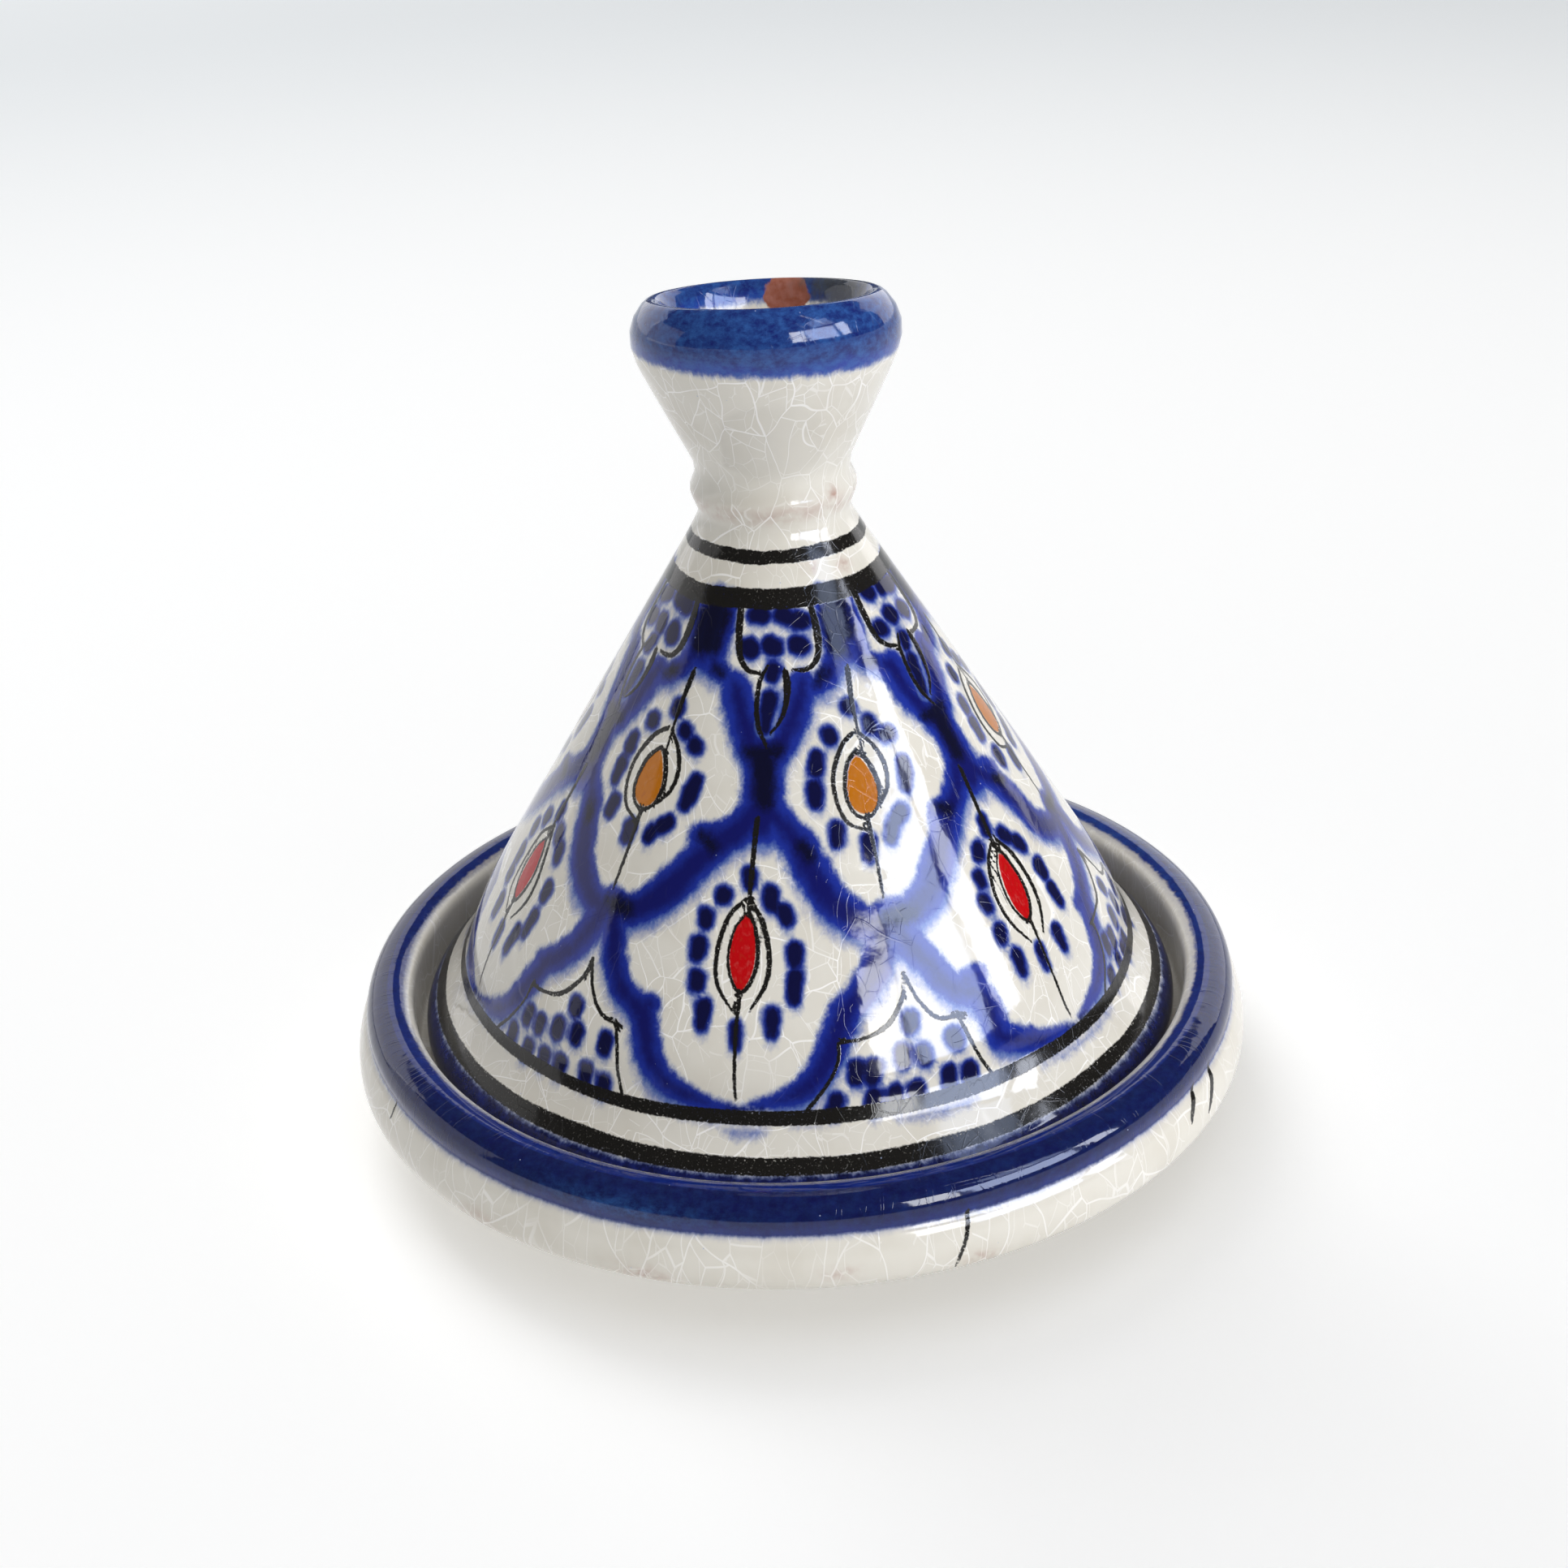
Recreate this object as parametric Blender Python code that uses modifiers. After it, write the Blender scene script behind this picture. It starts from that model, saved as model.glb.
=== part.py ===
"""A small painted tagine pot: a footed dish and the conical lid that stands inside its rim.

Both pieces are turned about Z. The origin is the middle of the foot, on the table.
"""

import math

import bpy
from mathutils import Vector

MM = 0.001
TURN_STEPS = 56
CORNER_STEPS = 3
MERGE = 0.00001

# Dish, outside.
RIM_RADIUS = 50.0 * MM
RIM_WIDTH = 5.4 * MM
RIM_HEIGHT = 3.6 * MM
RIM_INNER_DROP = 0.9 * MM
RIM_STEP = 0.6 * MM
SIDE_BULGE = 1.5 * MM
SIDE_HEIGHT = 5.8 * MM
UNDERSIDE_RISE = 6.2 * MM
FOOT_RADIUS = 33.0 * MM
FOOT_WIDTH = 4.0 * MM
FOOT_HEIGHT = 1.2 * MM

# Dish, inside.
LEDGE_DEPTH = 7.5 * MM
LEDGE_WIDTH = 5.0 * MM
FLOOR_THICKNESS = 3.6 * MM
FLOOR_RADIUS = 25.0 * MM

# How the lid stands in the dish.
LID_CLEARANCE = 1.1 * MM
SEAT_GAP = 0.3 * MM
SEAT_WIDTH = 5.1 * MM

# Lid, from its edge up to the neck.
EDGE_THICKNESS = 3.3 * MM
FLANGE_WIDTH = 5.2 * MM
FLANGE_RISE = 5.7 * MM
SHOULDER_INSET = 1.9 * MM
SHOULDER_RISE = 5.6 * MM
CONE_RISE = 44.0 * MM
CONE_TOP_RADIUS = 9.15 * MM
LID_WALL = 4.0 * MM
CAVITY_TOP_DROP = 1.9 * MM

# Neck, with a thrown ring between its two waists.
NECK_RADIUS = 7.95 * MM
NECK_STEP = 2.4 * MM
RING_BULGE = 1.05 * MM

# Cup on top, which is the handle.
CUP_RADIUS = 14.0 * MM
CUP_HEIGHT = 17.8 * MM
CUP_DEPTH = 17.0 * MM
CUP_ROLL = 3.7 * MM
CUP_ROLL_HEIGHT = 5.2 * MM
CUP_FLOOR_RADIUS = 5.0 * MM


def rim_top():
    return FOOT_HEIGHT + UNDERSIDE_RISE + SIDE_HEIGHT + RIM_HEIGHT


def ledge_height():
    return rim_top() - LEDGE_DEPTH


def gallery_radius():
    """The upright wall inside the rim, which the lid stands clear of."""
    return RIM_RADIUS - RIM_WIDTH


def rounded(corners):
    """Points along a run of (radius, height, rounding) corners, each corner eased by a curve."""
    places = [Vector((radius, height)) for radius, height, _ in corners]
    points = [places[0]]
    for before, corner, after, (_, _, rounding) in zip(places, places[1:], places[2:], corners[1:]):
        reach_in = min(rounding, 0.48 * (before - corner).length)
        reach_out = min(rounding, 0.48 * (after - corner).length)
        start = corner + (before - corner).normalized() * reach_in
        end = corner + (after - corner).normalized() * reach_out
        for step in range(CORNER_STEPS + 1):
            t = step / CORNER_STEPS
            points.append((1 - t) ** 2 * start + 2 * t * (1 - t) * corner + t**2 * end)
    return points + [places[-1]]


def dish_profile():
    """From the middle of the well, over the rim, down the side and under to the foot's recess."""
    top = rim_top()
    ledge = ledge_height()
    gallery = gallery_radius()
    floor = FOOT_HEIGHT + FLOOR_THICKNESS
    side_top = top - RIM_HEIGHT
    side_bottom = FOOT_HEIGHT + UNDERSIDE_RISE
    bulge = RIM_RADIUS + SIDE_BULGE
    return rounded(
        [
            (0, floor, 0),
            (FLOOR_RADIUS, floor, 7 * MM),
            (gallery - LEDGE_WIDTH, ledge, 1.4 * MM),
            (gallery, ledge, 1.0 * MM),
            (gallery, top - RIM_INNER_DROP, 1.2 * MM),
            (RIM_RADIUS - RIM_WIDTH / 2, top, 1.5 * MM),
            (RIM_RADIUS, top - RIM_INNER_DROP, 1.7 * MM),
            (RIM_RADIUS, side_top, 0.3 * MM),
            (RIM_RADIUS + RIM_STEP, side_top - RIM_STEP, 0.4 * MM),
            (bulge, side_top - SIDE_HEIGHT / 2, 1.6 * MM),
            (bulge, side_bottom, 1.9 * MM),
            (FOOT_RADIUS + 1.2 * MM, FOOT_HEIGHT, 1.0 * MM),
            (FOOT_RADIUS, 0, 0),
            (FOOT_RADIUS - FOOT_WIDTH, 0, 0),
            (FOOT_RADIUS - FOOT_WIDTH - 1.2 * MM, FOOT_HEIGHT, 0.6 * MM),
            (0, FOOT_HEIGHT, 0),
        ]
    )


def lid_profile():
    """From the middle of the cup, over its lip, down the cone to the seat and up inside."""
    radius = gallery_radius() - LID_CLEARANCE
    seat = ledge_height() + SEAT_GAP
    edge_top = seat + EDGE_THICKNESS
    foot = Vector((radius - FLANGE_WIDTH, edge_top + FLANGE_RISE))
    shoulder = Vector((foot.x - SHOULDER_INSET, foot.y + SHOULDER_RISE))
    cone_top = Vector((CONE_TOP_RADIUS, shoulder.y + CONE_RISE))
    waist = cone_top.y + NECK_STEP
    upper_waist = waist + 2 * NECK_STEP
    lip = upper_waist + CUP_HEIGHT

    slope = (shoulder.x - cone_top.x) / CONE_RISE
    wall = LID_WALL * math.hypot(1, slope)
    cavity_top = cone_top.y - CAVITY_TOP_DROP
    cavity_radius = cone_top.x + slope * CAVITY_TOP_DROP - wall
    return rounded(
        [
            (0, lip - CUP_DEPTH, 0),
            (CUP_FLOOR_RADIUS, lip - CUP_DEPTH, 3.0 * MM),
            (CUP_RADIUS - CUP_ROLL, lip - 2.4 * MM, 2.0 * MM),
            (CUP_RADIUS - CUP_ROLL + 0.6 * MM, lip, 1.2 * MM),
            (CUP_RADIUS - 1.8 * MM, lip, 1.6 * MM),
            (CUP_RADIUS - 0.1 * MM, lip - 0.45 * CUP_ROLL_HEIGHT, 1.6 * MM),
            (CUP_RADIUS, lip - CUP_ROLL_HEIGHT, 2.2 * MM),
            (NECK_RADIUS, upper_waist, 1.4 * MM),
            (NECK_RADIUS + RING_BULGE, waist + NECK_STEP, 1.2 * MM),
            (NECK_RADIUS, waist, 1.2 * MM),
            (cone_top.x, cone_top.y, 3.0 * MM),
            (shoulder.x, shoulder.y, 9.0 * MM),
            (foot.x, foot.y, 2.4 * MM),
            (radius, edge_top, 1.4 * MM),
            (radius, seat, 0.9 * MM),
            (radius - SEAT_WIDTH, seat, 0.8 * MM),
            (shoulder.x - wall, shoulder.y, 9.0 * MM),
            (cavity_radius, cavity_top, 3.0 * MM),
            (0, cavity_top, 0),
        ]
    )


def glaze(name, colour, roughness):
    material = bpy.data.materials.new(name)
    material.use_nodes = True
    shader = material.node_tree.nodes["Principled BSDF"]
    shader.inputs["Base Color"].default_value = (*colour, 1)
    shader.inputs["Roughness"].default_value = roughness
    shader.inputs["Metallic"].default_value = 0
    return material


def turned(name, profile, material, collection):
    """A closed solid made by turning a profile once about Z."""
    mesh = bpy.data.meshes.new(name)
    vertices = [(point.x, 0, point.y) for point in profile]
    edges = [(index, index + 1) for index in range(len(profile) - 1)]
    mesh.from_pydata(vertices, edges, [])
    mesh.materials.append(material)
    piece = bpy.data.objects.new(name, mesh)
    collection.objects.link(piece)
    screw = piece.modifiers.new("turn", "SCREW")
    screw.axis = "Z"
    screw.angle = math.tau
    screw.steps = TURN_STEPS
    screw.render_steps = TURN_STEPS
    screw.use_merge_vertices = True
    screw.merge_threshold = MERGE
    screw.use_smooth_shade = True
    return piece


def base_dish(collection):
    material = glaze("tin glazed earthenware, blue rim", (0.63, 0.58, 0.50), 0.12)
    return turned("base_dish", dish_profile(), material, collection)


def conical_lid(collection):
    material = glaze("painted tin glazed earthenware", (0.30, 0.32, 0.47), 0.10)
    return turned("conical_lid", lid_profile(), material, collection)


def main():
    for leftover in list(bpy.data.objects):
        bpy.data.objects.remove(leftover, do_unlink=True)
    pot = bpy.data.collections.new("tagine_pot")
    bpy.context.scene.collection.children.link(pot)
    base_dish(pot)
    conical_lid(pot)


main()
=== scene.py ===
import math
import random
from functools import partial

import bmesh
import bpy
import numpy as np
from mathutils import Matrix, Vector


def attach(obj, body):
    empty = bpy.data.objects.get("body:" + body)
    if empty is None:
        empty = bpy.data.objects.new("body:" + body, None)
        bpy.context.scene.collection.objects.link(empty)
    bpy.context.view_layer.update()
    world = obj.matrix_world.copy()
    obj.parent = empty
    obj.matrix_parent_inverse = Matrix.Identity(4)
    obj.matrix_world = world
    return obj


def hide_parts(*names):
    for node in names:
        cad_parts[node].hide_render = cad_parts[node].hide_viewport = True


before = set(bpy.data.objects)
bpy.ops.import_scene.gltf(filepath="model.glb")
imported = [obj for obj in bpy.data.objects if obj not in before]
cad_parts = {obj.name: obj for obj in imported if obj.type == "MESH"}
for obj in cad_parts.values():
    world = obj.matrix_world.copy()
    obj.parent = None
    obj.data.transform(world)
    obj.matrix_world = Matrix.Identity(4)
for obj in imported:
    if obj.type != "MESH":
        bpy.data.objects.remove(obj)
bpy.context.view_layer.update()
mm = 0.001


def hexColour(code):
    # sRGB hex to the linear values the shader wants
    parts = [int(code[i:i + 2], 16) / 255 for i in (0, 2, 4)]
    return tuple(c / 12.92 if c <= 0.04045 else ((c + 0.055) / 1.055) ** 2.4 for c in parts) + (1.0,)


def addNode(tree, kind, inputs=(), **settings):
    # one node with its settings; an input is a plain value, a socket, or a node to take the first output of
    made = tree.nodes.new(kind if "Node" in kind else "ShaderNode" + kind)
    for name, value in settings.items():
        setattr(made, name, value)
    for key, value in inputs.items() if isinstance(inputs, dict) else enumerate(inputs):
        if isinstance(value, bpy.types.Node):
            tree.links.new(value.outputs[0], made.inputs[key])
        elif isinstance(value, bpy.types.NodeSocket):
            tree.links.new(value, made.inputs[key])
        else:
            made.inputs[key].default_value = value
    return made


def softCorners(corners, steps=8):
    # each corner is (radius, height, easing) in mm, eased by a small curve
    places = [Vector(corner[:2]) for corner in corners]
    points = [places[0]]
    for before, corner, after, (_, _, easing) in zip(places, places[1:], places[2:], corners[1:]):
        start = corner + (before - corner).normalized() * min(easing, 0.48 * (before - corner).length)
        end = corner + (after - corner).normalized() * min(easing, 0.48 * (after - corner).length)
        for step in range(steps + 1):
            t = step / steps
            points.append((1 - t) ** 2 * start + 2 * t * (1 - t) * corner + t ** 2 * end)
    return np.array([tuple(p) for p in points + [places[-1]]])


def spacedProfile(corners, spacing):
    # walks the profile with a step that may change along it, and returns points and run length
    fine = softCorners(corners)
    gaps = np.hypot(*np.diff(fine, axis=0).T)
    fine = fine[np.r_[True, gaps > 1e-6]]
    run = np.r_[0, np.cumsum(np.hypot(*np.diff(fine, axis=0).T))]
    heading = np.unwrap(np.arctan2(*np.diff(fine, axis=0).T[::-1]))
    stops = [0.0]
    while stops[-1] < run[-1]:
        here = min(np.searchsorted(run, stops[-1], side="right") - 1, len(heading) - 1)
        last = min(here + 2, len(heading) - 1)
        bend = abs(heading[last] - heading[here]) / max(run[last] - run[here], 0.05)
        radius, height = fine[here]
        stops.append(stops[-1] + min(spacing(radius, height, stops[-1]), max(0.34, 0.36 / max(bend, 0.02))))
    stops = np.array(stops) * run[-1] / stops[-1]
    points = np.stack([np.interp(stops, run, fine[:, 0]), np.interp(stops, run, fine[:, 1])], 1)
    return points, stops


def thrownOnWheelTree():
    # Geometry Nodes: sweeps a profile round the axis with the small unevenness of hand throwing
    tree = bpy.data.node_groups.new("thrown on the wheel", "GeometryNodeTree")
    add = partial(addNode, tree)
    face = tree.interface
    face.new_socket("Geometry", in_out="INPUT", socket_type="NodeSocketGeometry")
    for name, kind, value in (
        ("Steps round", "NodeSocketInt", 360),
        ("Steps along", "NodeSocketInt", 100),
        ("Wobble depth", "NodeSocketFloat", 0.0001),
        ("Finger ring depth", "NodeSocketFloat", 0.00004),
        ("Finger ring spacing", "NodeSocketFloat", 0.003),
        ("Lip lean", "NodeSocketFloat", 0.0),
        ("Lip lean from", "NodeSocketFloat", 1.0),
        ("Seed", "NodeSocketFloat", 1.0),
        ("Glaze", "NodeSocketMaterial", None),
    ):
        socket = face.new_socket(name, in_out="INPUT", socket_type=kind)
        if value is not None:
            socket.default_value = value
    face.new_socket("Geometry", in_out="OUTPUT", socket_type="NodeSocketGeometry")
    put = add("NodeGroupInput").outputs

    # a flat sheet: across it is the way round, along it is the way down the profile
    columns = add("Math", [put["Steps round"], 1], operation="ADD")
    sheet = add("GeometryNodeMeshGrid", {"Size X": 1.0, "Size Y": 1.0, "Vertices X": columns,
                                         "Vertices Y": put["Steps along"]})
    spot = add("GeometryNodeInputPosition")
    flat = add("SeparateXYZ", [spot])
    along = add("Math", [flat.outputs["Y"], 0.5], operation="ADD")
    lastRow = add("Math", [put["Steps along"], 1], operation="SUBTRACT")
    rawRow = add("Math", [along, lastRow], operation="MULTIPLY")
    row = add("Math", [rawRow], operation="ROUND")
    sheet = add("GeometryNodeStoreNamedAttribute", {"Geometry": sheet, "Name": "row", "Value": row},
                data_type="FLOAT", domain="POINT")

    # the profile's own point for each row, and the angle for each column
    read = add("GeometryNodeSampleIndex", {"Geometry": put["Geometry"], "Index": row},
               data_type="FLOAT_VECTOR", domain="POINT")
    tree.links.new(spot.outputs[0], read.inputs["Value"])
    profile = add("SeparateXYZ", [read])
    radius = profile.outputs["X"]
    height = profile.outputs["Z"]
    around = add("Math", [flat.outputs["X"], 0.5], operation="ADD")
    closed = add("Math", [around, 0.9999999], operation="MULTIPLY")
    turned = add("Math", [closed], operation="FRACT")
    angle = add("Math", [turned, math.tau], operation="MULTIPLY")
    sine = add("Math", [angle], operation="SINE")
    cosine = add("Math", [angle], operation="COSINE")

    # a slow wander round the pot, and finger rings that change quickly with height
    rise = add("Math", [height, 40.0], operation="MULTIPLY")
    circle = add("CombineXYZ", [cosine, sine, rise])
    wander = add("TexNoise", {"Vector": circle, "W": put["Seed"], "Scale": 0.9, "Detail": 1.0},
                 noise_dimensions="4D")
    climb = add("Math", [height, put["Finger ring spacing"]], operation="DIVIDE")
    smallSine = add("Math", [sine, 0.25], operation="MULTIPLY")
    smallCosine = add("Math", [cosine, 0.25], operation="MULTIPLY")
    spiral = add("CombineXYZ", [smallCosine, smallSine, climb])
    rings = add("TexNoise", {"Vector": spiral, "W": put["Seed"], "Scale": 1.0, "Detail": 0.0},
                noise_dimensions="4D")
    wanderEven = add("Math", [wander, 0.5], operation="SUBTRACT")
    ringsEven = add("Math", [rings, 0.5], operation="SUBTRACT")
    ringPush = add("Math", [ringsEven, put["Finger ring depth"]], operation="MULTIPLY")
    push = add("Math", [wanderEven, put["Wobble depth"], ringPush], operation="MULTIPLY_ADD")
    # the push fades out inside 6 mm and is nothing at the axis, so the poles stay closed
    nearAxis = add("Math", [radius, 0.006], operation="DIVIDE")
    nearAxis = add("Math", [nearAxis, 1.0], operation="MINIMUM")
    wide = add("Math", [push, nearAxis, radius], operation="MULTIPLY_ADD")

    # the lip leans over its last 10 mm: it rises towards the front and stays down at the back
    leanTop = add("Math", [put["Lip lean from"], 0.010], operation="ADD")
    leaning = add("MapRange", {0: height, 1: put["Lip lean from"], 2: leanTop},
                  interpolation_type="SMOOTHSTEP")
    leanMost = add("Math", [leaning, put["Lip lean"]], operation="MULTIPLY")
    leanFront = add("Math", [cosine, radius], operation="MULTIPLY")
    leanFront = add("Math", [leanFront, 0.011], operation="DIVIDE")
    leant = add("Math", [leanMost, leanFront, height], operation="MULTIPLY_ADD")

    # bend the sheet round the axis and close its seam
    sideways = add("Math", [wide, sine], operation="MULTIPLY")
    forwards = add("Math", [wide, cosine], operation="MULTIPLY")
    backwards = add("Math", [forwards, -1.0], operation="MULTIPLY")
    bent = add("CombineXYZ", [sideways, backwards, leant])
    spun = add("GeometryNodeSetPosition", {"Geometry": sheet, "Position": bent})
    welded = add("GeometryNodeMergeByDistance", {"Geometry": spun, "Distance": 0.000002})
    smooth = add("GeometryNodeSetShadeSmooth", {"Geometry": welded})
    real = add("GeometryNodeRealizeInstances", {"Geometry": smooth})
    glazed = add("GeometryNodeSetMaterial", {"Geometry": real, "Material": put["Glaze"]})
    add("NodeGroupOutput", [glazed])
    return tree


def throwPiece(name, profile, tree, design, glaze):
    # a thin profile goes in, the thrown piece comes out as a plain mesh
    guide = bpy.data.meshes.new(name + "_profile")
    places = [(radius * mm, 0, height * mm) for radius, height in profile]
    guide.from_pydata(places, [(i, i + 1) for i in range(len(places) - 1)], [])
    holder = bpy.data.objects.new(name + "_profile", guide)
    bpy.context.scene.collection.objects.link(holder)
    wheel = holder.modifiers.new("wheel", "NODES")
    wheel.node_group = tree
    ids = {item.name: item.identifier for item in tree.interface.items_tree if item.in_out == "INPUT"}
    wheel[ids["Steps round"]] = design["stepsRound"]
    wheel[ids["Steps along"]] = len(profile)
    wheel[ids["Wobble depth"]] = design["wobble"] * mm
    wheel[ids["Finger ring depth"]] = design["fingerRingDepth"] * mm
    wheel[ids["Finger ring spacing"]] = design["fingerRingSpacing"] * mm
    wheel[ids["Lip lean"]] = design["lipLean"] * mm
    wheel[ids["Lip lean from"]] = design["lipLeanFrom"] * mm
    wheel[ids["Seed"]] = float(design["throwingSeed"])
    wheel[ids["Glaze"]] = glaze
    bpy.context.view_layer.update()
    piece = bpy.data.objects.new(name, bpy.data.meshes.new_from_object(
        holder.evaluated_get(bpy.context.evaluated_depsgraph_get())))
    piece.data.name = name
    holder.modifiers.remove(wheel)
    bpy.data.objects.remove(holder, do_unlink=True)
    bpy.context.scene.collection.objects.link(piece)
    work = bmesh.new()
    work.from_mesh(piece.data)
    bmesh.ops.recalc_face_normals(work, faces=work.faces)
    work.to_mesh(piece.data)
    work.free()
    triangles = sum(len(face.vertices) - 2 for face in piece.data.polygons)
    print(name, "thrown:", len(piece.data.vertices), "points,", triangles, "triangles")
    return piece


def smoothPath(stroke, steps=6):
    # a smooth curve through (degrees, height, half width), in a few steps from each to the next
    knots = np.array(stroke, float)
    if len(knots) > 2:
        ends = np.vstack([2 * knots[0] - knots[1], knots, 2 * knots[-1] - knots[-2]])
        path = []
        for a, b, c, d in zip(ends, ends[1:], ends[2:], ends[3:]):
            for t in np.arange(steps) / steps:
                path.append(0.5 * (2 * b + (c - a) * t + (2 * a - 5 * b + 4 * c - d) * t ** 2
                                   + (3 * b - a - 3 * c + d) * t ** 3))
        knots = np.vstack(path + [knots[-1]])
    return knots


# every layer of paint with the value where there is none: distances in mm, or amounts from 0 to 1
paintLayers = {
    "cobaltEdge": 9.0,
    "bleedEdge": 9.0,
    "poolEdge": 9.0,
    "dabEdge": 9.0,
    "lineEdge": 9.0,
    "lineSide": 9.0,
    "lineWidth": 0.2,
    "bandEdge": 9.0,
    "budEdge": 9.0,
    "paleEdgeLine": 9.0,
    "clayEdge": 9.0,
    "smokeEdge": 9.0,
    "mottle": 0.0,
    "budRed": 0.0,
    "blush": 0.0,
}


class Canvas:
    # the points of one piece, and what has been painted on each

    def __init__(self, piece, profile, run):
        self.piece = piece
        count = len(piece.data.vertices)
        flat = np.empty(count * 3, np.float32)
        piece.data.vertices.foreach_get("co", flat)
        self.spots = flat.reshape(-1, 3).astype(float) / mm
        rows = np.empty(count, np.float32)
        piece.data.attributes["row"].data.foreach_get("value", rows)
        self.run = run[np.clip(np.round(rows).astype(int), 0, len(profile) - 1)]
        self.turn = np.degrees(np.arctan2(self.spots[:, 0], -self.spots[:, 1]))
        self.profile = profile
        self.top = int(np.argmax(profile[:, 1]))
        self.crest = run[self.top]
        self.paint = {name: np.full(count, start) for name, start in paintLayers.items()}

    def outerRadius(self, height):
        # radius of the painted outside at a height, read off the profile's outer side
        outside = self.profile[self.top:]
        outside = outside[:int(np.argmax(outside[:, 0])) + 1]
        order = np.argsort(outside[:, 1])
        return np.interp(height, outside[order, 1], outside[order, 0])

    def stroke(self, name, stroke, drop=0.0, grow=0.0, sided=False):
        # lays one brush stroke on the outside, as the distance of every near point from its edge
        path = smoothPath(stroke)
        radius = self.outerRadius(path[:, 1])
        angle = np.radians(path[:, 0])
        points = np.stack([radius * np.sin(angle), -radius * np.cos(angle), path[:, 1] - drop], 1)
        wide = path[:, 2] + grow
        reach = wide.max() + 3.0
        low, high = points.min(0) - reach, points.max(0) + reach
        near = np.flatnonzero(((self.spots > low) & (self.spots < high)).all(1))
        if not len(near):
            return
        spots = self.spots[near]
        outward = spots * (1, 1, 0)
        best = np.full(len(near), 99.0)
        side = np.full(len(near), 9.0)
        width = np.full(len(near), 0.2)
        for a, b, wa, wb in zip(points, points[1:], wide, wide[1:]):
            along = b - a
            t = np.clip(((spots - a) @ along) / max(along @ along, 1e-9), 0, 1)
            far = np.linalg.norm(spots - a - t[:, None] * along, axis=1)
            thick = wa + (wb - wa) * t
            closer = far - thick < best
            if sided:
                hand = np.sign((np.cross(along, spots - a) * outward).sum(1) + 1e-12)
                side = np.where(closer, far * hand, side)
                width = np.where(closer, thick, width)
            best = np.where(closer, far - thick, best)
        layer = self.paint[name]
        closer = best < layer[near]
        if sided:
            # a line is kept as a distance with a side, so that it stays sharp between points;
            # a line beside an older one takes the side that agrees with it
            sides, widths = self.paint["lineSide"], self.paint["lineWidth"]
            meet = (best < 1.4) & (layer[near] < 1.4) & (np.abs(best - layer[near]) < 0.5)
            if (np.sign(side[meet]) * np.sign(sides[near][meet])).sum() < 0:
                side = -side
            sides[near[closer]] = side[closer]
            widths[near[closer]] = width[closer]
        layer[near] = np.minimum(layer[near], best)

    def field(self, name, values):
        # adds an area whose distances are already worked out for every point
        self.paint[name] = np.minimum(self.paint[name], values)

    def finish(self):
        for name, values in self.paint.items():
            made = self.piece.data.attributes.new(name, "FLOAT", "POINT")
            made.data.foreach_set("value", np.clip(values, -9, 9).astype(np.float32))
        self.piece.data.attributes.remove(self.piece.data.attributes["row"])


def wave(turn, seed, size):
    # a slow hand wobble that closes on itself round the pot; each line has a seed of its own
    pick = random.Random(seed)
    total = np.zeros_like(turn)
    for cycles in (1, 2, 3, 5, 8, 13, 21, 34):
        strength = pick.uniform(-1, 1)
        total += strength * np.sin(np.radians(turn) * cycles + pick.uniform(0, 6.28)) / cycles ** 0.5
    return total * size


glazeLooks = {
    "milkGlaze": "E3DFD5",       # tin white over buff clay, a little warm
    "milkGlazeThin": "D5CFC2",   # where the glaze lies thin and the clay warms it
    "crackle": "FFFDFA",
    "cobaltFringe": "5F7AB2",    # cobalt that has run thin into the white
    "cobaltRun": "4A66B0",       # the lower edge, where it sagged in the firing
    "cobaltMottle": "386CB4",
    "cobalt": "1B3098",
    "cobaltDeep": "0C1160",
    "cobaltPooled": "04041C",
    "dab": "06083A",
    "lineBlack": "171512",       # manganese line, dry brushed
    "budOrange": "BC6E06",
    "budRed": "BC0008",
    "bareClay": "8A4326",
    "rust": "A0604F",
    "smoke": "4A4C48",
    "pinhole": "A9B7DA",
    "crackleSpacing": 5.4,       # mm between the first long crazing lines; finer ones fill in
    "glazeRoughness": 0.065,
    "clayRoughness": 0.62,
}


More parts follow.
